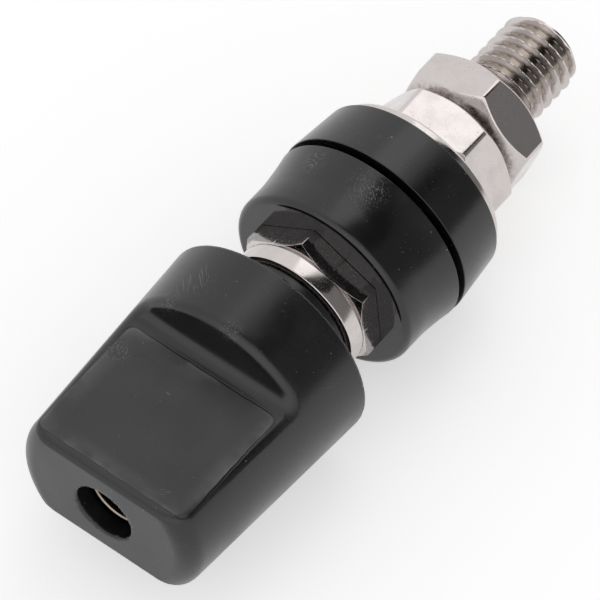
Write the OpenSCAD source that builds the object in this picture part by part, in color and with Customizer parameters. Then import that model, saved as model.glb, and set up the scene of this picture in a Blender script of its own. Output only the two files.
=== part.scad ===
// Insulated binding post for a panel: a threaded barrel with a 4 mm plug socket and a cross hole for a
// wire, a moulded thumb knob that clamps the wire, and two insulators that hold the post in a panel hole.
// Every piece is turned about one axis. It is built standing on local Z, knob up, with Z = 0 at the face
// that seats on the panel, and laid down at the end so that the knob points along -Y.

/* [Thread] */
// Major diameter of the thread on the barrel and the shank
thread_d = 6.0; // [5.4:0.1:6.4]

/* [Stud] */
// Length of the barrel in front of the hex flange
barrel_len = 19.5; // [18:0.5:24]
// Length of the shank behind the hex flange
shank_len = 24.9; // [22:0.1:32]
// Height of the chamfer on the shank's end
shank_chamfer = 0.5; // [0.2:0.1:1]
// Width of the hex flange across its flats
flange_af = 9.6; // [8.5:0.1:11]
// Thickness of the hex flange
flange_t = 1.87; // [1.2:0.01:3]
// Turn of the hex flange about the axis, in degrees
flange_turn = 35.5; // [0:0.5:60]

/* [Plug socket] */
// Diameter of the socket that takes the plug
socket_d = 4.1; // [3.6:0.05:4.3]
// Depth of the socket from the barrel's tip
socket_depth = 15.5; // [12:0.5:16]
// Width of the chamfer round the socket's mouth
socket_lead = 0.08; // [0.04:0.02:0.3]

/* [Wire hole] */
// Diameter of the cross hole that takes a bare wire
wire_d = 2.5; // [1.5:0.1:2.6]
// Metal left between the hex flange and the cross hole
wire_lip = 0.5; // [0.3:0.1:0.8]

/* [Front insulator] */
// Thickness of the collar that stands on the panel
collar_t = 5.15; // [4:0.05:8]
// Diameter of the collar at its front face
collar_d = 14.36; // [13:0.02:18]
// How much wider the collar's rim is at the panel, on each side
collar_flare = 0.37; // [0.1:0.01:0.8]
// Height over which the collar flares
flare_h = 3.2; // [2:0.1:3.6]
// Radius on the collar's front edge
collar_round = 0.5; // [0.2:0.1:0.8]
// Diameter of the boss that goes through the panel hole
boss_d = 7.9; // [7.2:0.1:9]
// Length of the boss behind the collar
boss_len = 3.2; // [2:0.1:4]

/* [Rear insulator] */
// Gap for the panel between the two insulators, as the post is stored
panel_gap = 0.58; // [0.2:0.01:1.6]
// Thickness of the rear insulator
rear_t = 4.06; // [3.6:0.02:6]
// How much wider the rear insulator is than the collar's rim, on each side
rear_step = 0.04; // [0:0.01:0.6]
// Narrowing of the rear insulator towards its back, on each side
rear_draft = 0.39; // [0.05:0.01:0.8]
// Wall left behind the recess that the boss enters
rear_web = 1.3; // [1:0.1:1.6]

/* [Washer and nuts] */
// Diameter of the flat washer
washer_d = 13.54; // [12:0.02:14]
// Thickness of the flat washer
washer_t = 0.76; // [0.5:0.02:1.4]
// Width of both nuts across their flats
nut_af = 9.5; // [8.5:0.1:11]
// Thickness of the nut that clamps the panel
panel_nut_t = 4.2; // [3:0.1:5]
// Thickness of the nut that clamps the wire lug
lug_nut_t = 3.6; // [2.4:0.1:4]
// Turn of the panel nut about the axis, in degrees
panel_nut_turn = 55.5; // [0:0.5:60]
// Turn of the lug nut about the axis, in degrees
lug_nut_turn = 13.3; // [0:0.1:60]
// Diameter of the flat ring inside the nuts' end chamfers
nut_face_d = 8.64; // [7.6:0.02:9.4]
// Slope of the hexagons' end chamfers, in degrees
chamfer_slope = 30; // [15:5:35]

/* [Threaded insert] */
// Diameter of the insert's flange
insert_flange_d = 10.08; // [9.4:0.02:12]
// Thickness of the insert's flange
insert_flange_t = 1.37; // [0.8:0.01:2]
// Diameter of the insert's neck inside the knob
insert_neck_d = 7.8; // [7.4:0.1:8.2]
// Length of the insert's neck
insert_neck_len = 6.6; // [4:0.1:8]
// Chamfer on the edges of the insert's flange
insert_break = 0.15; // [0.05:0.05:0.3]

/* [Knob] */
// Diameter of the knob at its rear rim
knob_d = 15.98; // [14.8:0.02:19]
// Narrowing of the knob from its rim to its end, on each side
knob_draft = 0.78; // [0.2:0.02:1.1]
// Length of the knob from its rear rim to its end face
knob_len = 17.35; // [16:0.05:22]
// Radius round the knob's end face
end_round = 1.4; // [0.6:0.1:1.8]
// Thickness of the knob across its two flats
grip_t = 7.92; // [7.6:0.02:9]
// Length of the full round skirt behind the flats
skirt_len = 5.55; // [4:0.05:7]
// Radius of the hollow between the skirt and each flat
cove_r = 1.05; // [0.5:0.05:1.5]
// Depth of the recess in the knob's rear
recess_depth = 2.2; // [1:0.1:3]
// Thickness of the skirt's wall at the rear rim
skirt_wall = 1.2; // [0.8:0.1:2]
// Diameter of the hub in the recess
hub_d = 9.2; // [8.8:0.1:10]
// How far the hub stands out of the knob's rim
hub_reach = 2.3; // [1:0.1:3]
// Diameter of the hole in the knob's end for the plug
end_hole_d = 4.42; // [4.4:0.02:5]

/* [Clearances] */
// Running clearance on each side, of threads and turning fits
run_gap = 0.05; // [0.02:0.01:0.1]
// Clearance on each side, between the shank and the rear pieces
shank_gap = 0.2; // [0.1:0.05:0.4]
// Clearance on each side, between the boss and the rear insulator's recess
boss_gap = 0.15; // [0.1:0.05:0.3]
// Clearance on each side, between the barrel and the knob's inside
barrel_gap = 0.3; // [0.2:0.05:0.35]
// Clearance between the barrel's tip and the knob's end wall
tip_gap = 0.1; // [0.05:0.05:0.4]

/* [Hidden] */
$fn = 96;
cut = 0.5;  // how far a cutting shape runs past the face it cuts

// heights on the axis, in front of the panel face
flange_z = collar_t;
barrel_z = flange_z + flange_t;
barrel_tip = barrel_z + barrel_len;
shank_tip = flange_z - shank_len;
wire_z = barrel_z + wire_lip + wire_d / 2;
socket_floor = barrel_tip - socket_depth;
neck_z = barrel_z + insert_flange_t;
neck_end = neck_z + insert_neck_len;
rim_z = neck_z + hub_reach;
knob_end = rim_z + knob_len;
step_z = rim_z + skirt_len;

// heights on the axis, behind the panel face
rear_z = -panel_gap;
washer_z = rear_z - rear_t;
panel_nut_z = washer_z - washer_t;
lug_nut_z = panel_nut_z - panel_nut_t;

black = [0.07, 0.07, 0.075];
nickel = [0.80, 0.78, 0.75];

// a turned piece, from its half section given as [radius, height] points
module turned(section) {
    rotate_extrude() polygon(section);
}

// a round bore along the axis, from one height to another
module bore(d, low, high) {
    translate([0, 0, low]) cylinder(d = d, h = high - low);
}

// the section of a straight piece whose two end edges are broken
function broken_section(r, low, high, edge) = [
    [0, low], [r - edge, low], [r, low + edge],
    [r, high - edge], [r - edge, high], [0, high],
];

// a hexagon from one height to another, its corners cut by a cone at the ends that are chamfered
module hexagon(af, low, high, turn, face_d, low_chamfer = true) {
    corner_r = af / sqrt(3);
    drop = (corner_r + cut - face_d / 2) * tan(chamfer_slope);
    foot = low_chamfer ? [[face_d / 2, low], [corner_r + cut, low + drop]] : [[corner_r + cut, low]];
    intersection() {
        rotate([0, 0, turn]) translate([0, 0, low]) cylinder(r = corner_r, h = high - low, $fn = 6);
        turned(concat([[0, low]], foot, [[corner_r + cut, high - drop], [face_d / 2, high], [0, high]]));
    }
}

// the post lies down: local Z becomes -Y
module laid() {
    rotate([90, 0, 0]) children();
}

module terminal_stud() {
    r = thread_d / 2;
    color(nickel) laid() difference() {
        union() {
            turned([
                [0, shank_tip], [r - shank_chamfer, shank_tip], [r, shank_tip + shank_chamfer],
                [r, barrel_tip], [0, barrel_tip],
            ]);
            hexagon(flange_af, flange_z, barrel_z, flange_turn, flange_af, low_chamfer = false);
        }
        bore(socket_d, socket_floor, barrel_tip + cut);
        turned([
            [0, barrel_tip - socket_lead], [socket_d / 2, barrel_tip - socket_lead],
            [socket_d / 2 + socket_lead + cut, barrel_tip + cut], [0, barrel_tip + cut],
        ]);
        translate([0, 0, wire_z]) rotate([0, 90, 0]) cylinder(d = wire_d, h = thread_d + 2 * cut, center = true);
    }
}

// the collar flares towards the panel in a shallow curve that runs out into its straight front
module collar() {
    steps = 8;
    flare = [for (i = [0:steps]) [
        collar_d / 2 + collar_flare * pow(1 - i / steps, 1.6),
        flare_h * i / steps,
    ]];
    difference() {
        turned(concat([[0, 0]], flare, [[collar_d / 2, collar_t], [0, collar_t]]));
        difference() {
            edge_z = collar_t - collar_round;
            translate([0, 0, edge_z]) cylinder(d = collar_d + 2 * cut, h = collar_round + cut);
            rotate_extrude() union() {
                translate([collar_d / 2 - collar_round, edge_z]) circle(r = collar_round);
                translate([0, edge_z - cut]) square([collar_d / 2 - collar_round, collar_round + cut]);
            }
        }
    }
}

module front_insulator() {
    color(black) laid() difference() {
        union() {
            collar();
            bore(boss_d, -boss_len, cut);
        }
        bore(thread_d + 2 * run_gap, -boss_len - cut, collar_t + cut);
    }
}

module rear_insulator() {
    r = collar_d / 2 + collar_flare + rear_step;
    color(black) laid() difference() {
        turned([[0, washer_z], [r - rear_draft, washer_z], [r, rear_z], [0, rear_z]]);
        bore(boss_d + 2 * boss_gap, washer_z + rear_web, rear_z + cut);
        bore(thread_d + 2 * shank_gap, washer_z - cut, rear_z + cut);
    }
}

module flat_washer() {
    color(nickel) laid() difference() {
        bore(washer_d, panel_nut_z, washer_z);
        bore(thread_d + 2 * shank_gap, panel_nut_z - cut, washer_z + cut);
    }
}

// a hexagon nut with its front face at the height given
module nut(front, thick, turn) {
    color(nickel) laid() difference() {
        hexagon(nut_af, front - thick, front, turn, nut_face_d);
        bore(thread_d + 2 * run_gap, front - thick - cut, front + cut);
    }
}

module panel_nut() {
    nut(panel_nut_z, panel_nut_t, panel_nut_turn);
}

module lug_nut() {
    nut(lug_nut_z, lug_nut_t, lug_nut_turn);
}

module knob_insert() {
    color(nickel) laid() difference() {
        union() {
            turned(broken_section(insert_flange_d / 2, barrel_z, neck_z, insert_break));
            bore(insert_neck_d, neck_z - cut, neck_end);
        }
        bore(thread_d + 2 * run_gap, barrel_z - cut, neck_end + cut);
    }
}

// the knob's outside before it is cut: a slow cone with a rounded end
module knob_blank() {
    rim_r = knob_d / 2;
    end_r = rim_r - knob_draft;
    shoulder_z = knob_end - end_round;
    turned([[0, rim_z], [rim_r, rim_z], [end_r, shoulder_z], [0, shoulder_z]]);
    rotate_extrude() union() {
        intersection() {
            translate([end_r - end_round, shoulder_z]) circle(r = end_round);
            translate([0, shoulder_z]) square([end_r, end_round]);
        }
        translate([0, shoulder_z - cut]) square([end_r - end_round, end_round + cut]);
    }
}

// what one flat takes away: a block with a round edge, which leaves the hollow at the foot of the skirt
module grip_cut() {
    flat_y = grip_t / 2;
    wide = knob_d + 2 * cut;
    deep = knob_d / 2 + cut;
    high = knob_end + cut;
    translate([-wide / 2, flat_y + cove_r, step_z]) cube([wide, deep, high - step_z]);
    translate([-wide / 2, flat_y, step_z + cove_r]) cube([wide, deep, high - step_z - cove_r]);
    translate([-wide / 2, flat_y + cove_r, step_z + cove_r]) rotate([0, 90, 0]) cylinder(r = cove_r, h = wide);
}

// the open ring in the knob's rear, round the hub that carries the insert
module skirt_recess() {
    difference() {
        bore(knob_d - 2 * skirt_wall, rim_z - cut, rim_z + recess_depth);
        bore(hub_d, rim_z - 2 * cut, rim_z + recess_depth + cut);
    }
}

module knob() {
    color(black) laid() difference() {
        union() {
            knob_blank();
            bore(hub_d, neck_z, rim_z + cut);
        }
        grip_cut();
        mirror([0, 1, 0]) grip_cut();
        skirt_recess();
        bore(insert_neck_d + 2 * run_gap, neck_z - cut, neck_end);
        bore(thread_d + 2 * barrel_gap, neck_z, barrel_tip + tip_gap);
        bore(end_hole_d, barrel_tip, knob_end + cut);
    }
}

knob();
knob_insert();
terminal_stud();
front_insulator();
rear_insulator();
flat_washer();
panel_nut();
lug_nut();
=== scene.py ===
# %% [markdown]
# # A panel binding post, dressed for a close look
#
# A binding post clamps a bare wire, or takes a 4 mm plug, on the front of an instrument. This one has a
# black moulded knob, a nickel-plated stud that runs right through it, and two black insulators that keep
# the metal off the panel. The solids come from the CAD frame: it says where each piece sits and how
# large it is. Here every piece gets the edges, threads, scratches and gloss that the bare solids lack.
#
# The frame is loaded first, and the boxes of its pieces give the places and sizes used below.

# %% Load the frame
import math

import bmesh
import bpy
import numpy as np
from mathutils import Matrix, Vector


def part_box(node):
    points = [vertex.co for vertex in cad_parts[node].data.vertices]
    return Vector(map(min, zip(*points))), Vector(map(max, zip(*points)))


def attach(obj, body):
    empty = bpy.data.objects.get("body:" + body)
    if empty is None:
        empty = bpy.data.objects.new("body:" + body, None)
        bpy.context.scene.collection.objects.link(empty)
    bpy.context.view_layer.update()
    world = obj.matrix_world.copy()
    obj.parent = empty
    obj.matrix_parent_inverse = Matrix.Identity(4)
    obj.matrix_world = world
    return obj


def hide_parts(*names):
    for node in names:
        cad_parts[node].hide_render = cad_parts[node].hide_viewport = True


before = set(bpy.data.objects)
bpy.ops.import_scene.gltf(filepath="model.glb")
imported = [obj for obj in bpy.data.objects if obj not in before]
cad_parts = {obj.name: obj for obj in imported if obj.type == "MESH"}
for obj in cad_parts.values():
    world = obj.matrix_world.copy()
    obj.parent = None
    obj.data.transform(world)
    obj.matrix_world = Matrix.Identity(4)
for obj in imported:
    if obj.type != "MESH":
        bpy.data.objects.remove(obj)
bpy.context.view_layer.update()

MM = 0.001

# %% [markdown]
# ## Where things are
#
# Every piece is turned about one axis, which lies along Y with the knob towards -Y. It is easier to
# think of a lathe: a radius, and a height along the axis that grows towards the knob. One small function
# reads a node's box in those terms, so no place is typed in twice.

# %% Heights and radii from the frame
def span(node):
    """The lowest and highest place of a turned piece along the post, and its radius, in millimetres."""
    low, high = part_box(node)
    return -high.y / MM, -low.y / MM, high.x / MM


hub_low, knob_high, knob_radius = span("knob")
insert_low, insert_high, insert_radius = span("knob_insert")
stud_low, stud_high, _ = span("terminal_stud")
boss_low, collar_high, collar_radius = span("front_insulator")
rear_low, rear_high, rear_radius = span("rear_insulator")
washer_low, washer_high, washer_radius = span("flat_washer")
panel_nut_low, panel_nut_high, _ = span("panel_nut")
lug_nut_low, lug_nut_high, _ = span("lug_nut")
print("The post runs from", round(stud_low, 2), "to", round(knob_high, 2), "mm along its axis")

# %% [markdown]
# ## Shader maths as plain expressions
#
# Finishes are easier to read as formulas than as chains of nodes. A `Wire` wraps one output socket and
# turns `+ - *` into Math nodes, also with the number on the left, as in `1 - mask`. A `Graph` makes every
# other node with a single method, and a `Finish` is the graph of one material.

# %% The Wire class
class Wire:
    """One output socket. Arithmetic on it adds Math nodes."""

    def __init__(self, graph, socket):
        self.graph = graph
        self.socket = socket

    def __add__(self, other):
        return self.graph.maths("ADD", self, other)

    def __radd__(self, other):
        return self.graph.maths("ADD", other, self)

    def __sub__(self, other):
        return self.graph.maths("SUBTRACT", self, other)

    def __rsub__(self, other):
        return self.graph.maths("SUBTRACT", other, self)

    def __mul__(self, other):
        return self.graph.maths("MULTIPLY", self, other)

    def __rmul__(self, other):
        return self.graph.maths("MULTIPLY", other, self)

    def __abs__(self):
        return self.graph.maths("ABSOLUTE", self)

    def root(self):
        return self.graph.maths("SQRT", self)

    def at_least(self, other):
        return self.graph.maths("MAXIMUM", self, other)

    def at_most(self, other):
        return self.graph.maths("MINIMUM", self, other)

    def band(self, low, high, at_low=0.0, at_high=1.0):
        """Runs smoothly from at_low to at_high while the value goes from low to high."""
        settings = {"interpolation_type": "SMOOTHSTEP"}
        values = {"Value": self, "From Min": low, "From Max": high, "To Min": at_low, "To Max": at_high}
        return self.graph.node("ShaderNodeMapRange", settings, values)


# %% The Graph class
class Graph:
    """A tree of nodes, and the one method that adds any node to it."""

    def __init__(self, tree):
        self.tree = tree

    def node(self, kind, settings=None, values=None, out=0):
        made = self.tree.nodes.new(kind)
        for key, setting in (settings or {}).items():
            setattr(made, key, setting)
        for key, value in (values or {}).items():
            self.feed(made.inputs[key], value)
        return Wire(self, made.outputs[out])

    def feed(self, socket, value):
        if isinstance(value, Wire):
            self.tree.links.new(value.socket, socket)
        else:
            socket.default_value = value

    def maths(self, operation, *values):
        return self.node("ShaderNodeMath", {"operation": operation}, dict(enumerate(values)))

    def blend(self, factor, first, second):
        """Mixes two colours."""
        first, second = (c if isinstance(c, Wire) else (*c, 1.0) for c in (first, second))
        return self.node("ShaderNodeMix", {"data_type": "RGBA"}, {0: factor, 6: first, 7: second}, out=2)


# %% The Finish class
class Finish(Graph):
    """A material with one Principled shader. Keyword names are the shader's sockets."""

    def __init__(self, name, **sockets):
        self.material = bpy.data.materials.new(name)
        self.material.use_nodes = True
        super().__init__(self.material.node_tree)
        self.shader = self.tree.nodes["Principled BSDF"]
        self.set(**sockets)

    def set(self, **sockets):
        for socket, value in sockets.items():
            self.feed(self.shader.inputs[socket.replace("_", " ")], value)

    def place(self):
        """The point on the object, in metres, in the piece's own frame."""
        return self.node("ShaderNodeTexCoord", out="Object")

    def part(self, vector, axis):
        """One coordinate of a vector."""
        return self.node("ShaderNodeSeparateXYZ", {}, {0: vector}, out=axis)

    def scaled(self, vector, scale):
        return self.node("ShaderNodeVectorMath", {"operation": "MULTIPLY"}, {0: vector, 1: scale})

    def noise(self, vector, size_mm, detail=3.0):
        values = {"Vector": vector, "Scale": 1.0 / (size_mm * MM), "Detail": detail, "Roughness": 0.55}
        return self.node("ShaderNodeTexNoise", {}, values)

    def near(self, vector, spot_mm, reach_mm):
        """A mask that is 1 at a spot on the object and fades to 0 at its reach."""
        spot = tuple(c * MM for c in spot_mm)
        away = self.node("ShaderNodeVectorMath", {"operation": "DISTANCE"}, {0: vector, 1: spot}, out="Value")
        return away.band(0.25 * reach_mm * MM, reach_mm * MM, 1.0, 0.0)

    def bump(self, height, distance_mm, strength):
        values = {"Height": height, "Distance": distance_mm * MM, "Strength": strength}
        return self.node("ShaderNodeBump", {}, values)


# %% [markdown]
# ## Moulded black plastic
#
# The knob and the insulators are moulded in black plastic that left the mould satin and has been handled
# since. The base is nearly black. What the eye reads is the gloss, which varies in soft clouds a few
# millimetres wide, and the fine scratches across it. A scratch is a thin line of one noise, stretched a
# long way in one direction. Scratches all over look like a pattern, so most of them are kept to a few
# spots where the piece has been knocked.

# %% Scratches
def scratches(finish, place, angle, width_mm, length_mm, density, where):
    """A mask of thin straight scratches at an angle, in the places that another mask gives."""
    turned = finish.node(
        "ShaderNodeMapping", {},
        {"Vector": place, "Rotation": (0.3 * angle, 0.2, angle), "Location": (angle * 0.013, 0.004, 0.002)},
    )
    squeezed = finish.scaled(turned, (width_mm / length_mm, 1.0, 1.0))
    lines = finish.noise(squeezed, width_mm, detail=1.0)
    return lines.band(1.0 - density, 1.06 - density) * where


# %% Marks of handling
def handling_marks(finish, place, scuffs):
    """Masks of the scratches and of the dust. A scuff is a spot and its reach, in millimetres."""
    patches = finish.noise(place, 2.2, detail=1.0)
    marks = scratches(finish, place, 0.5, 0.05, 2.4, 0.31, patches.band(0.50, 0.64))
    marks = marks + scratches(finish, place, 1.9, 0.06, 3.0, 0.31, patches.band(0.42, 0.30))
    for number, (spot, reach) in enumerate(scuffs):
        knocked = finish.near(place, spot, reach)
        marks = marks + scratches(finish, place, 0.9 + 2.3 * number, 0.09, 2.4, 0.44, knocked)
        marks = marks + finish.noise(place, 0.16, detail=2.0).band(0.66, 0.74) * knocked * 0.2
    dust = finish.noise(place, 0.22, detail=0.0).band(0.85, 0.88) * patches.band(0.35, 0.60)
    return marks, dust


# %% The black finish
fresh_black = (0.006, 0.006, 0.0063)
hazy_black = (0.014, 0.014, 0.0145)
scratch_grey = (0.16, 0.16, 0.16)
dust_grey = (0.32, 0.31, 0.30)
mirror_gloss = 0.06


def moulded_black(name, gloss, scuffs, panel=None, polished=None):
    """Black plastic. A panel adds the flat's crease and its painted sheen; a polished face lies at that
    height.
    """
    finish = Finish(name, IOR=1.55)
    place = finish.place()
    clouds = finish.noise(place, 4.5, detail=4.0)
    grain = finish.noise(place, 0.12, detail=2.0)
    marks, dust = handling_marks(finish, place, scuffs)
    colour = finish.blend(clouds.band(0.45, 0.75) * 0.5, fresh_black, hazy_black)
    roughness = clouds.band(0.35, 0.7, gloss - 0.04, gloss + 0.06)
    height = grain * 0.5 - marks * 0.6
    if panel is not None:
        colour, roughness, height = panel(finish, place, colour, roughness, height)
    if polished is not None:
        face = finish.part(place, "Y").band(-(polished - 0.02) * MM, -(polished - 0.3) * MM, 1.0, 0.0)
        roughness = roughness * (1 - face) + face * mirror_gloss
        height = height * (1 - face)
    colour = finish.blend(marks * 0.6, colour, scratch_grey)
    finish.set(
        Base_Color=finish.blend(dust * 0.6, colour, dust_grey),
        Roughness=roughness + marks * 0.12 + dust * 0.2,
        Normal=finish.bump(height, 0.006, 0.5),
    )
    print(name, "has", len(finish.tree.nodes), "nodes")
    return finish.material


# %% [markdown]
# The mould's flats are separate inserts, and they leave a witness line: a hair-thin crease round each
# flat, cut in by the bump and painted near black as painted shade in the groove. Inside it the flat is
# painted lighter, as painted sheen of the light from above and partly as rubbing by fingers. Both are drawn
# from the distance to a rounded rectangle, worked out from the object's own coordinates. A little noise
# makes the line less than true.

# %% The outline of the panel on each flat
panel_half_width = 6.05
panel_low = 17.45
panel_high = 27.35
panel_corner = 0.7
# Two greys paint the flat lighter: painted sheen of the light above, partly rubbing by fingers.
sheen_and_wear_grey = (0.13, 0.13, 0.132)
panel_sheen_black = (0.024, 0.024, 0.025)
# The crease's near black is painted shade in the groove.
crease_shade_black = (0.001, 0.001, 0.001)


def inside_panel(finish, place):
    """How far a point lies inside the panel's outline, in metres; negative outside."""
    middle, half_length = (panel_low + panel_high) / 2, (panel_high - panel_low) / 2
    across = abs(finish.part(place, "X")) - (panel_half_width - panel_corner) * MM
    along = abs(finish.part(place, "Y") + middle * MM) - (half_length - panel_corner) * MM
    past_across, past_along = across.at_least(0.0), along.at_least(0.0)
    past_corner = (past_across * past_across + past_along * past_along).root()
    outside = past_corner + across.at_least(along).at_most(0.0)
    wobble = (finish.noise(place, 2.0, detail=2.0) - 0.5) * (0.16 * MM)
    return panel_corner * MM - outside + wobble


# %% What the panel adds to the finish
def flat_panel(finish, place, colour, roughness, height):
    """Mixes the crease, with its painted shade, and the lighter flat, painted sheen and partly rubbing, into
    the finish as it stands so far.
    """
    inside = inside_panel(finish, place)
    off_line = abs(inside)
    off_middle = abs(finish.part(place, "Z"))
    on_flat = off_middle.band(3.55 * MM, 3.7 * MM) * off_middle.band(4.35 * MM, 4.5 * MM, 1.0, 0.0)
    crease = off_line.band(0.03 * MM, 0.09 * MM, 1.0, 0.0) * on_flat
    inside = inside * on_flat
    # Painted sheen, partly rubbing: a lighter band inside the outline, broken up by noise.
    sheen_and_wear = inside.band(0.0, 1.5 * MM, 1.0, 0.0) * inside.band(0.0, 0.12 * MM)
    sheen_and_wear = sheen_and_wear * finish.noise(place, 2.6, detail=2.0).band(0.36, 0.62, 0.2, 1.0)
    colour = finish.blend(sheen_and_wear, colour, sheen_and_wear_grey)
    # Painted sheen: the whole flat is painted a little lighter than the cone.
    colour = finish.blend(inside.band(0.0, 0.4 * MM) * 0.5, colour, panel_sheen_black)
    # Painted shade in the crease: its line is painted near black, and the bump below cuts the groove itself.
    colour = finish.blend(crease, colour, crease_shade_black)
    return colour, roughness + inside.band(0.0, 0.3 * MM) * 0.12, height - crease * 6.0


# %% Three black finishes
knob_black = moulded_black("moulded_black_knob", 0.30, panel=flat_panel, scuffs=[
    ((-3.6, -13.8, 7.0), 1.8), ((-4.3, -16.1, 6.6), 1.5), ((0.9, -15.9, 7.8), 1.2),
    ((-5.4, -19.6, 4.0), 1.4), ((3.8, -26.3, 4.0), 0.5), ((-0.8, -20.2, 4.0), 0.35),
])
insulator_black = moulded_black("moulded_black_insulator", 0.26, scuffs=[((-1.9, 3.1, 7.7), 0.45)])
collar_black = moulded_black("moulded_black_collar", 0.26, polished=collar_high, scuffs=[
    ((1.0, -1.5, 7.3), 1.9), ((-3.8, -1.2, 6.4), 1.5),
])

# %% [markdown]
# ## Nickel plate
#
# Stud, insert, washer and nuts are turned from brass and nickel-plated. Nickel is a little warmer than
# chrome and never a perfect mirror: the turning tool leaves rings round the axis, and handling leaves a
# haze. The plate is thin and dirty deep in the threads, where it goes brown, so the colour also depends
# on the distance from the axis there. Each nut is darker and browner near the face where it meets the other.

# %% Colours of nickel, and where two of its marks lie
clean_nickel = (0.62, 0.575, 0.562)
hazy_nickel = tuple(c * 0.80 for c in clean_nickel)
speck_brown = (0.20, 0.17, 0.14)
thread_brown = (0.20, 0.155, 0.11)
near_end_brown = (0.17, 0.15, 0.13)
# The flange's grey is painted shade and dark reflection on the hexagon's sides.
flange_shade_grey = (0.16, 0.15, 0.15)
thread_trough = (2.46, 2.75)
flange_sides = (5.15, 6.75)


def near_end_mask(finish, place, end):
    """A mask that makes a nut darker round one end face."""
    from_end = abs(finish.part(place, "Y") + end * MM)
    patchy = finish.noise(place, 0.35, detail=3.0).band(0.40, 0.62, 0.3, 1.0)
    return from_end.band(0.10 * MM, 0.50 * MM, 1.0, 0.0) * patchy * 0.65


def thread_dirt(finish, place, radius, trough):
    """A mask that grows from the outer to the inner radius of the trough, but not on the end face."""
    before_end = finish.part(place, "Y").band(19.5 * MM, 19.7 * MM, 1.0, 0.0)
    return radius.band(trough[0] * MM, trough[1] * MM, 1.0, 0.0) * before_end * 0.75


# %% The nickel finish
def nickel(name, gloss, rings, trough=None, flange=None, darker_end=None):
    """Nickel plate. Trough, flange and darker_end add what only some pieces have."""
    finish = Finish(name, Metallic=1.0)
    place = finish.place()
    from_axis = finish.scaled(place, (1.0, 0.0, 1.0))
    radius = finish.node("ShaderNodeVectorMath", {"operation": "LENGTH"}, {0: from_axis}, out="Value")
    haze = finish.noise(place, 1.6, detail=4.0)
    specks = finish.noise(place, 0.10, detail=1.0).band(0.66, 0.74)
    turning = finish.node(
        "ShaderNodeTexNoise", {"noise_dimensions": "1D"},
        {"W": radius * 9000.0, "Scale": 1.0, "Detail": 2.0},
    )
    colour = finish.blend(haze.band(0.4, 0.7) * 0.35, clean_nickel, hazy_nickel)
    colour = finish.blend(specks * 0.35, colour, speck_brown)
    roughness = haze.band(0.3, 0.75, gloss - 0.04, gloss + 0.08) + specks * 0.15
    if trough is not None:
        colour = finish.blend(thread_dirt(finish, place, radius, trough), colour, thread_brown)
    if darker_end is not None:
        # The nut is made darker and browner near the face where it meets the other nut.
        colour = finish.blend(near_end_mask(finish, place, darker_end), colour, near_end_brown)
    if flange is not None:
        colour, roughness = shaded_pitted_flange(finish, place, radius, flange, colour, roughness)
    finish.set(
        Base_Color=colour, Roughness=roughness,
        Normal=finish.bump(turning * rings + specks * -0.4, 0.004, 0.6),
    )
    print(name, "has", len(finish.tree.nodes), "nodes")
    return finish.material


# %% The flange's pitted sides, painted darker as painted shade
def shaded_pitted_flange(finish, place, radius, flange, colour, roughness):
    """The hexagon's sides between two heights are glossier than the rest and pitted, and painted darker as
    painted shade and dark reflection.
    """
    low, high = flange
    along = finish.part(place, "Y")
    sides = along.band(-high * MM, -(high - 0.08) * MM) * along.band(-low * MM, 0.0, 1.0, 0.0)
    sides = sides * radius.band(3.2 * MM, 3.6 * MM)
    pits = finish.noise(place, 0.09, detail=2.0).band(0.56, 0.66)
    # Painted shade and dark reflection: the sides are painted darker, and the pits lighten it in spots.
    colour = finish.blend(sides * (0.75 - pits * 0.6), colour, flange_shade_grey)
    return colour, roughness * (1 - sides) + sides * (0.10 + pits * 0.15)


thread_nickel = nickel("nickel_thread", gloss=0.16, rings=0.0, trough=thread_trough, flange=flange_sides)
turned_nickel = nickel("nickel_turned", gloss=0.16, rings=0.35)
panel_nut_nickel = nickel("nickel_panel_nut", gloss=0.17, rings=0.25, darker_end=panel_nut_low)
lug_nut_nickel = nickel("nickel_lug_nut", gloss=0.17, rings=0.25, darker_end=lug_nut_high)

# %% [markdown]
# ## A lathe for meshes
#
# Nearly every piece is a section swept round the axis. The sweep here takes a function instead of a
# fixed outline: it is asked for the section at each angle, so the same lathe makes round pieces, hexagons
# and threads. A second helper rounds the corners of a section, because real edges always catch a line
# of light, and a perfectly sharp one never does.

# %% Rounded sections
def rounded(corners, steps=4):
    """Replaces each (radius, height, rounding) corner of a closed section by a small arc."""
    points = []
    count = len(corners)
    for i in range(count):
        here = np.array(corners[i][:2], float)
        before = np.array(corners[i - 1][:2], float) - here
        after = np.array(corners[(i + 1) % count][:2], float) - here
        rounding = corners[i][2]
        if rounding == 0:
            points.append(here)
            continue
        before_length = np.linalg.norm(before)
        after_length = np.linalg.norm(after)
        before /= before_length
        after /= after_length
        half = math.acos(max(-1.0, min(1.0, float(before @ after)))) / 2
        reach = min(rounding / math.tan(half), 0.49 * before_length, 0.49 * after_length)
        middle = (before + after) / np.linalg.norm(before + after)
        centre = here + middle * reach / math.cos(half)
        radius = reach * math.tan(half)
        start = here + before * reach - centre
        end = here + after * reach - centre
        sweep = math.pi - 2 * half
        for k in range(steps + 1):
            t = k / steps
            mix = (math.sin((1 - t) * sweep) * start + math.sin(t * sweep) * end) / math.sin(sweep)
            points.append(centre + mix / np.linalg.norm(mix) * radius)
    return [tuple(p) for p in points]


# %% The lathe
def even_angles(count):
    return [2 * math.pi * i / count for i in range(count)]


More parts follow.
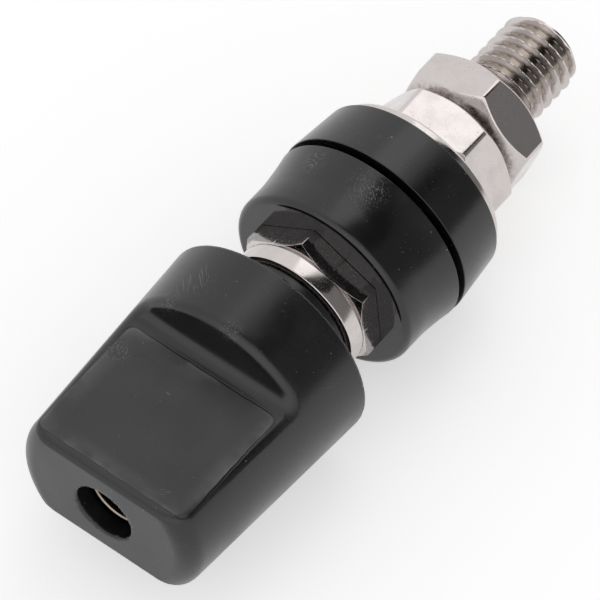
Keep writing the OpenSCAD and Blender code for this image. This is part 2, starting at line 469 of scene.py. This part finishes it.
def lathe(name, section, angles, material, crisp=40):
    """Sweeps section(angle), a closed list of (radius, height) points, round the axis."""
    rings = np.array([section(a) for a in angles]) * MM
    columns, points = rings.shape[:2]
    turn = np.array(angles)[:, None]
    radius, height = rings[..., 0], rings[..., 1]
    places = np.stack([radius * np.cos(turn), -height, radius * np.sin(turn)], axis=-1).reshape(-1, 3)
    faces = []
    for i in range(columns):
        here, there = i * points, (i + 1) % columns * points
        for j in range(points):
            k = (j + 1) % points
            faces.append((here + j, there + j, there + k, here + k))
    mesh = bpy.data.meshes.new(name)
    mesh.from_pydata(places.tolist(), [], faces)
    return finish_mesh(name, mesh, material, crisp)


def finish_mesh(name, mesh, material, crisp):
    """Welds the points on the axis, turns the faces outwards and shades them smooth."""
    work = bmesh.new()
    work.from_mesh(mesh)
    bmesh.ops.remove_doubles(work, verts=work.verts, dist=1e-7)
    bmesh.ops.dissolve_degenerate(work, edges=work.edges, dist=1e-8)
    bmesh.ops.recalc_face_normals(work, faces=work.faces)
    work.to_mesh(mesh)
    work.free()
    mesh.shade_smooth()
    mesh.materials.append(material)
    piece = bpy.data.objects.new(name, mesh)
    bpy.context.scene.collection.objects.link(piece)
    mesh.set_sharp_from_angle(angle=math.radians(crisp))
    weighted = piece.modifiers.new("even_shading", "WEIGHTED_NORMAL")
    weighted.keep_sharp = True
    print(name, "has", len(mesh.polygons), "faces")
    return piece


def settle(piece, body, node):
    """The piece rides on its body and stands for its CAD node, which is hidden."""
    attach(piece, body)
    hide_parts(node)


# %% [markdown]
# ## The knob
#
# The knob is one moulding: a slow cone with two flats for finger and thumb. Where each flat meets the
# round skirt the mould has a hollow, every outer edge is softened, and the rear is open round a hub. The
# corners where a flat, the cone and the skirt's wall meet are hard to draw by hand and easy to describe
# as a distance: take the cone and the flats as distances to their surfaces, and join them with a rounded
# maximum or minimum. A net of quads is then laid where that distance is zero.

# %% Joining distances with a fillet
def meet(first, second, fillet):
    """What lies in both shapes, with a fillet along the edge where their surfaces cross."""
    past_first = np.maximum(first + fillet, 0.0)
    past_second = np.maximum(second + fillet, 0.0)
    return np.minimum(-fillet, np.maximum(first, second)) + np.hypot(past_first, past_second)


def join(first, second, fillet):
    """What lies in either shape, with a hollow of that radius in the corner between them."""
    return -meet(-first, -second, fillet)


# %% The knob as a distance
rim = hub_low + 2.3
end_round = 1.4
draft = 0.78
grip_half = 3.96
step_height = rim + 5.55
cove = 1.05
edge = 0.36
softer = 0.25
side_slope = draft / (knob_high - end_round - rim)
skirt_wall = 1.2
hollow_depth = 2.2
hub_radius = 4.6
hub_depth = 2.5
insert_hole = 3.95
stud_clear = 3.3
end_wall = 1.42
plug_hole = 2.21
print("The knob's grip narrows by", round(side_slope, 3), "mm in each mm")


def knob_distance(x, height, z):
    """How far a point is outside the knob, in millimetres; negative inside."""
    radius = np.hypot(x, z)
    cone = (radius - knob_radius + side_slope * (height - rim)) / math.hypot(1.0, side_slope)
    body = meet(cone, height - knob_high, end_round)
    body = meet(body, rim - height, 0.15)
    flats = join(np.abs(z) - grip_half, height - step_height, cove)
    soft_edge = edge + softer * np.clip(step_height + 1.0 - height, 0.0, 1.0)
    body = meet(body, flats, soft_edge)
    hollow = np.maximum(radius - knob_radius + skirt_wall, hub_radius - radius)
    hollow = np.maximum(hollow, height - rim - hollow_depth)
    body = meet(body, -hollow, 0.12)
    hub = meet(radius - hub_radius, hub_low - height, 0.1)
    body = np.minimum(body, np.maximum(hub, height - rim - hub_depth))
    neck = np.maximum(radius - insert_hole, height - insert_high)
    inside = np.maximum(radius - stud_clear, height - knob_high + end_wall)
    body = meet(body, -np.minimum(neck, inside), 0.05)
    return meet(body, plug_hole - radius, 0.16)


# %% Points where the distance is zero
def slopes(distance, points, reach=1e-3):
    """The direction in which the distance grows, at each point."""
    steps = np.eye(3) * reach
    rise = [distance(*(points + s).T) - distance(*(points - s).T) for s in steps]
    return np.stack(rise, axis=1) / (2 * reach)


def surface_points(distance, inside, axes, cell):
    """One point in each cell that the surface crosses, and the number of the point in each cell."""
    corners = sum(
        inside[i:len(axes[0]) - 1 + i, j:len(axes[1]) - 1 + j, k:len(axes[2]) - 1 + k].astype(int)
        for i in (0, 1) for j in (0, 1) for k in (0, 1)
    )
    crossed = (corners > 0) & (corners < 8)
    number = np.full(crossed.shape, -1)
    number[crossed] = np.arange(crossed.sum())
    cells = np.argwhere(crossed)
    points = np.stack([axes[a][cells[:, a]] + cell / 2 for a in range(3)], axis=1)
    for _ in range(8):
        slope = slopes(distance, points)
        fall = distance(*points.T) / np.maximum((slope ** 2).sum(axis=1), 0.05)
        points -= np.clip(fall[:, None] * slope, -cell, cell)
    return points, number


# %% Quads across the crossed edges
def crossing_quads(inside, number, axis, entering):
    """A quad round each edge along an axis that leaves the shape, or that enters it."""
    u, v = (axis + 1) % 3, (axis + 2) % 3
    beyond = np.roll(inside, -1, axis)
    edges = np.argwhere(~inside & beyond if entering else inside & ~beyond)
    edges = edges[(edges[:, u] > 0) & (edges[:, v] > 0) & (edges[:, axis] < inside.shape[axis] - 1)]
    round_edge = [(0, 0), (-1, 0), (-1, -1), (0, -1)]
    if entering:
        round_edge.reverse()
    loop = []
    for du, dv in round_edge:
        place = edges.copy()
        place[:, u] += du
        place[:, v] += dv
        loop.append(number[tuple(place.T)])
    return np.stack(loop, axis=1)


# %% The net
def net(name, distance, low, high, cell, material):
    """Lays one point in each cell that the surface crosses, and a quad across each crossed edge."""
    axes = [np.arange(a - cell, b + 2 * cell, cell) for a, b in zip(low, high)]
    inside = distance(*np.meshgrid(*axes, indexing="ij")) < 0
    points, number = surface_points(distance, inside, axes, cell)
    quads = np.concatenate([
        crossing_quads(inside, number, axis, entering) for axis in range(3) for entering in (False, True)
    ])
    heights_down = np.array([1, -1, 1])
    mesh = bpy.data.meshes.new(name)
    mesh.from_pydata((points * heights_down * MM).tolist(), [], quads.tolist())
    mesh.materials.append(material)
    mesh.flip_normals()
    mesh.shade_smooth()
    slope = slopes(distance, points)
    slope /= np.maximum(np.linalg.norm(slope, axis=1), 1e-9)[:, None]
    mesh.normals_split_custom_set_from_vertices((slope * heights_down).tolist())
    piece = bpy.data.objects.new(name, mesh)
    bpy.context.scene.collection.objects.link(piece)
    print(name, "has", len(mesh.polygons), "quads")
    return piece


# %% Make the knob
reach = knob_radius + 0.1
knob = net(
    "thumb_knob", knob_distance, (-reach, hub_low - 0.1, -reach), (reach, knob_high + 0.1, reach),
    0.21, knob_black,
)
settle(knob, "knob", "knob")

# %% [markdown]
# ## Hexagons and threads
#
# A hexagon on the lathe is a radius that changes with the angle. Its corners are rounded, and a cone cuts
# them at each end, which gives the curved chamfer line that every nut shows. A thread is a ridge whose
# height moves along by one pitch in each turn. Both are small functions of the angle.

# %% Radius of a hexagon, and of a thread
PITCH = 1.0
thread_crest = 3.0
thread_root = 2.5
crest_half = 0.02
flank_slope = math.tan(math.radians(64))
print("The thread is", thread_crest - thread_root, "mm deep")


def hexagon_radius(across, angle, turn, corner=0.42):
    """The radius at an angle of a hexagon with rounded corners, turned by that many degrees."""
    off_corner = (angle - math.radians(turn)) % (math.pi / 3)
    from_flat = abs(off_corner - math.pi / 6)
    half = across / 2
    inner = (half - corner) / math.cos(math.pi / 6)
    if math.tan(from_flat) * half <= (half - corner) * math.tan(math.pi / 6):
        return half / math.cos(from_flat)
    off = math.pi / 6 - from_flat
    return inner * math.cos(off) + math.sqrt(corner ** 2 - (inner * math.sin(off)) ** 2)


def hexagon_angles(turn):
    """Angles that lie close together at the corners of a hexagon."""
    offsets = [0, 0.25, 0.5, 0.8, 1.2, 2, 4, 7, 11, 16, 22, 28]
    sides = [s * o for o in offsets for s in (-1, 1)]
    degrees = {round((turn + 60 * k + o) % 360, 4) for k in range(6) for o in sides}
    degrees |= {round((turn + 60 * k + 30) % 360, 4) for k in range(6)}
    return [math.radians(d) for d in sorted(degrees)]


def thread_radius(height, angle):
    """A right-hand thread with steep flanks, a narrow crest and a flat root."""
    place = (height / PITCH - angle / (2 * math.pi)) % 1.0
    off_crest = abs(place - 0.5) * PITCH
    flank = thread_crest - (off_crest - crest_half) * flank_slope
    return max(thread_root, min(thread_crest, flank))


# %% [markdown]
# ## Nuts
#
# Both nuts are the same kind: a milled hexagon whose corners are cut by a cone at both ends. The tapped
# hole has a lead-in cone at each face, where the first turn of the thread shows dark.

# %% A nut
nut_across = 9.5
nut_face = 4.2
nut_lead = 3.22
nut_bore = 2.75
lead_depth = 0.45
cone_slope = math.tan(math.radians(36))


def nut(name, low, high, turn, material):
    def section(angle):
        side = hexagon_radius(nut_across, angle, turn)
        drop = (side - nut_face) * cone_slope
        return rounded([
            (nut_lead, high, 0.05), (nut_face, high, 0.12), (side, high - drop, 0.16),
            (side, low + drop, 0.16), (nut_face, low, 0.12), (nut_lead, low, 0.05),
            (nut_bore, low + lead_depth, 0.05), (nut_bore, high - lead_depth, 0.05),
        ], steps=3)

    return lathe(name, section, hexagon_angles(turn), material)


panel_nut = nut("panel_nut_hexagon", panel_nut_low, panel_nut_high, 55.5, panel_nut_nickel)
lug_nut = nut("lug_nut_hexagon", lug_nut_low, lug_nut_high, 13.3, lug_nut_nickel)
settle(panel_nut, "panel_nut", "panel_nut")
settle(lug_nut, "lug_nut", "lug_nut")

# %% [markdown]
# ## Washer
#
# The washer is stamped from strip, so one edge is rolled over and the other is nearly sharp.

# %% The flat washer
loose_hole = 3.2
washer = lathe(
    "washer_ring",
    lambda angle: rounded([
        (loose_hole, washer_low, 0.05), (loose_hole, washer_high, 0.05),
        (washer_radius, washer_high, 0.06), (washer_radius, washer_low, 0.22),
    ]),
    even_angles(144), turned_nickel,
)
settle(washer, "rear_clamp", "flat_washer")

# %% [markdown]
# ## Insulators
#
# The front collar flares towards the panel in a shallow curve and carries the boss that goes through the
# panel hole. The rear insulator tapers the other way, has a sharp rim, and takes the boss in a recess.

# %% The two insulators
snug_hole = 3.05
boss_radius = 3.95
collar_wall = 7.18
flare_top = 3.2
rear_taper = 0.39
recess_radius = 4.1
recess_floor = rear_low + 1.3


def collar_section(angle):
    spread = collar_radius - collar_wall
    flare = [(collar_wall + spread * (1 - t) ** 1.6, flare_top * t, 0) for t in np.linspace(0.04, 1, 12)]
    return rounded([
        (snug_hole, boss_low, 0.05), (boss_radius, boss_low, 0.2), (boss_radius, 0.0, 0.05),
        (collar_radius, 0.0, 0.04), *flare, (collar_wall, collar_high, 0.5), (snug_hole, collar_high, 0.05),
    ], steps=5)


collar = lathe("front_collar", collar_section, even_angles(192), collar_black)
settle(collar, "terminal", "front_insulator")

rear_ring = lathe(
    "rear_ring",
    lambda angle: rounded([
        (loose_hole, rear_low, 0.05), (rear_radius - rear_taper, rear_low, 0.08),
        (rear_radius, rear_high, 0.06), (recess_radius, rear_high, 0.1),
        (recess_radius, recess_floor, 0.05), (loose_hole, recess_floor, 0.05),
    ]),
    even_angles(192), insulator_black,
)
settle(rear_ring, "rear_clamp", "rear_insulator")

# %% [markdown]
# ## The insert
#
# The insert is the bush moulded into the knob. Only its bright flange shows, which clamps the wire.

# %% The knob's insert
flange_top = insert_low + 1.37
neck_radius = 3.9
insert = lathe(
    "clamping_insert",
    lambda angle: rounded([
        (snug_hole, insert_low, 0.15), (insert_radius, insert_low, 0.15),
        (insert_radius, flange_top, 0.15), (neck_radius, flange_top, 0.05),
        (neck_radius, insert_high, 0.1), (snug_hole, insert_high, 0.05),
    ]),
    even_angles(144), turned_nickel,
)
settle(insert, "knob_lift", "knob_insert")

# %% [markdown]
# ## The stud
#
# The stud is one turned bar: a threaded shank, the hexagon that stops against the collar, and a threaded
# barrel with the plug socket in its end. Its section is asked for at each angle, so one sweep gives the
# thread, the hexagon and the bore together. The cross hole for the wire is cut afterwards.

# %% The stud's section
flange_low = collar_high
flange_high = insert_low
flange_across = 9.6
flange_turn = 35.5
flange_face = flange_across / 2 - 0.08
socket_radius = 2.05
socket_floor = stud_high - 15.5
mouth_radius = 2.14
mouth_depth = 0.09
tip_radius = 2.35
relief_length = 0.8
stud_crisp = 35


def stud_rows(stretches):
    """Heights along the bar, closer together where the thread can be seen."""
    return np.concatenate([
        np.linspace(low, high, int((high - low) * per_mm), endpoint=False) for low, high, per_mm in stretches
    ])


shank_rows = stud_rows([
    (stud_low, -12.0, 24), (-12.0, -4.2, 8), (-4.2, -2.8, 24), (-2.8, flange_low - 0.02, 8),
])
barrel_rows = stud_rows([(flange_high + 0.02, 15.0, 20), (15.0, stud_high, 6)])
print("The thread is drawn in", len(shank_rows), "rows on the shank and", len(barrel_rows), "on the barrel")


def ridge(heights, angle):
    """The thread's section. It fades out at both ends of the bar and on each side of the flange."""
    rows = []
    for height in heights:
        ends = min(height - stud_low, stud_high - height)
        top = min(thread_radius(height, angle), thread_root + ends)
        near_flange = min(abs(height - flange_low), abs(height - flange_high))
        relief = min(1.0, near_flange / relief_length)
        rows.append((top * relief + thread_root * (1 - relief), height))
    return rows


def stud_section(angle):
    side = hexagon_radius(flange_across, angle, flange_turn, corner=0.12)
    drop = (side - flange_face) * math.tan(math.radians(30))
    flange = rounded([
        (thread_root, flange_low, 0), (side, flange_low, 0.05),
        (side, flange_high - drop, 0.03), (flange_face, flange_high, 0.03),
        (thread_root, flange_high, 0),
    ], steps=3)
    mouth = [
        (mouth_radius, stud_high), (socket_radius, stud_high - mouth_depth),
        (socket_radius, socket_floor), (0.0, socket_floor - 0.6),
    ]
    shank = [(0.0, stud_low), (tip_radius, stud_low)] + ridge(shank_rows, angle)
    return shank + flange + ridge(barrel_rows, angle) + mouth


stud = lathe("terminal_bar", stud_section, hexagon_angles(flange_turn), thread_nickel, crisp=stud_crisp)

# %% [markdown]
# A bare wire goes right through the barrel, so the cross hole is cut with a Boolean: a plain rod is
# taken out of the bar, and the rod is thrown away.

# %% Cut the cross hole
wire_hole_radius = 1.25
wire_hole_height = 8.77
rod_length = 8.0


def drill(piece, radius, height, length):
    bpy.ops.mesh.primitive_cylinder_add(
        vertices=64, radius=radius * MM, depth=length * MM,
        location=(0, -height * MM, 0), rotation=(0, math.pi / 2, 0),
    )
    rod = bpy.context.object
    before = len(piece.data.polygons)
    hole = piece.modifiers.new("hole", "BOOLEAN")
    hole.object, hole.operation, hole.solver = rod, "DIFFERENCE", "MANIFOLD"
    piece.modifiers.move(len(piece.modifiers) - 1, 0)
    with bpy.context.temp_override(object=piece, active_object=piece, selected_objects=[piece]):
        bpy.ops.object.modifier_apply(modifier=hole.name)
    bpy.data.objects.remove(rod)
    piece.data.set_sharp_from_angle(angle=math.radians(stud_crisp))
    print("Drilled", piece.name, "from", before, "to", len(piece.data.polygons), "faces")


drill(stud, wire_hole_radius, wire_hole_height, rod_length)
settle(stud, "terminal", "terminal_stud")

# %% [markdown]
# ## Floor, light and camera
#
# The post lies on its side on a plain white floor. Black plastic shows its form only by what it
# reflects, so the lights are large and soft.

# %% World
def light_path_mix(graph, low, high):
    """A grey that is `high` where the camera or a reflection looks, and `low` for soft light."""
    seen = graph.node("ShaderNodeLightPath", out="Is Camera Ray")
    for kind in ("Is Glossy Ray", "Is Transmission Ray"):
        seen = seen.at_least(graph.node("ShaderNodeLightPath", out=kind))
    return graph.blend(seen, (low,) * 3, (high,) * 3)


room_light = 0.45
room_seen = 1.0
world = bpy.data.worlds.new("studio")
bpy.context.scene.world = world
world.use_nodes = True
room = Graph(world.node_tree)
room.feed(world.node_tree.nodes["Background"].inputs["Color"], light_path_mix(room, room_light, room_seen))
print("The room looks", room_seen, "and lights the post with", room_light)

# %% [markdown]
# The floor glows a little, but only where the camera or a reflection sees it, so it looks white without
# lighting the post from below.

# %% Floor
floor_z = -knob_radius * MM
floor_half = 1.5
corners = [(-1, -1), (1, -1), (1, 1), (-1, 1)]
floor_mesh = bpy.data.meshes.new("floor")
floor_mesh.from_pydata([(floor_half * x, floor_half * y, floor_z) for x, y in corners], [], [(0, 1, 2, 3)])
floor = bpy.data.objects.new("floor", floor_mesh)
bpy.context.scene.collection.objects.link(floor)
paper = Finish("white_paper", Base_Color=(0.9, 0.9, 0.9, 1.0), Roughness=0.9, Specular_IOR_Level=0.0)
paper.set(Emission_Strength=1.0, Emission_Color=light_path_mix(paper, 0.0, 0.5))
floor_mesh.materials.append(paper.material)
print("Floor laid", round(-floor_z / MM, 2), "mm below the axis")

# %% [markdown]
# A post is round, so what lies above it is mirrored in strips along it. `around` turns an angle about
# the post into a direction: 0 is to the right, 90 is overhead, and the lean takes it towards the back,
# where a raised camera sees reflections. The lamps are given by how bright they look, not by watts, so
# that a larger one isn't also a brighter one.

# %% Lights
def around(angle, lean=0.45):
    """The direction at an angle about the post, leaning towards its back end."""
    flat = math.sqrt(1 - lean ** 2)
    return Vector((flat * math.cos(math.radians(angle)), lean, flat * math.sin(math.radians(angle))))


def aimed(name, data, direction, distance):
    """Hangs a lamp or a card at a distance, facing the post."""
    holder = bpy.data.objects.new(name, data)
    holder.location = direction * distance
    holder.rotation_euler = (-direction).to_track_quat("-Z", "Y").to_euler()
    bpy.context.scene.collection.objects.link(holder)
    return holder


def softbox(name, direction, distance, width, height, brightness):
    lamp = bpy.data.lights.new(name, "AREA")
    lamp.shape = "RECTANGLE"
    lamp.size, lamp.size_y = width, height
    lamp.energy = brightness * math.pi * width * height
    return aimed(name, lamp, direction, distance)


front = Vector((0.25, -0.85, 0.46)).normalized()
softbox("overhead_strip", around(97, 0.40), distance=0.60, width=0.27, height=0.60, brightness=0.55)
softbox("front_softbox", front, distance=0.70, width=1.20, height=0.90, brightness=0.32)
print("Two softboxes hung")

# %% [markdown]
# Two cards on the right keep the white room out of the reflections there, as black flags do in a studio.
# Without them black plastic turns grey and nickel loses its dark bands.

# %% Dark cards
def card(name, direction, distance, width, height, shade):
    mesh = bpy.data.meshes.new(name)
    x, y = width / 2, height / 2
    mesh.from_pydata([(i * x, j * y, 0) for i, j in corners], [], [(0, 1, 2, 3)])
    mesh.materials.append(Finish(name, Base_Color=(shade, shade, shade, 1.0), Roughness=1.0).material)
    flag = aimed(name, mesh, direction, distance)
    flag.visible_camera = False
    flag.visible_diffuse = False
    flag.visible_shadow = False


card("black_card", around(64), distance=0.45, width=0.20, height=0.75, shade=0.02)
card("grey_card", around(28), distance=0.44, width=0.36, height=0.75, shade=0.38)
print("Two cards hung")

# %% [markdown]
# The camera looks down on the post from the knob's end. It stands well back with a long lens, as one does
# for a catalogue, so that the far end isn't much smaller than the near one.

# %% Camera
camera_data = bpy.data.cameras.new("camera")
camera_data.lens = 360
camera_data.sensor_width = 36
camera_data.clip_start = 0.01
camera = bpy.data.objects.new("camera", camera_data)
camera.location = (0.13836, -0.18602, 0.32379)
forward = Vector((-0.35086, 0.45295, -0.81959))
camera.rotation_euler = forward.to_track_quat("-Z", "Y").to_euler()
bpy.context.scene.collection.objects.link(camera)
bpy.context.scene.camera = camera
bpy.context.scene.view_settings.view_transform = "Standard"
print("The camera stands", round(camera.location.length / MM), "mm from the panel's middle")
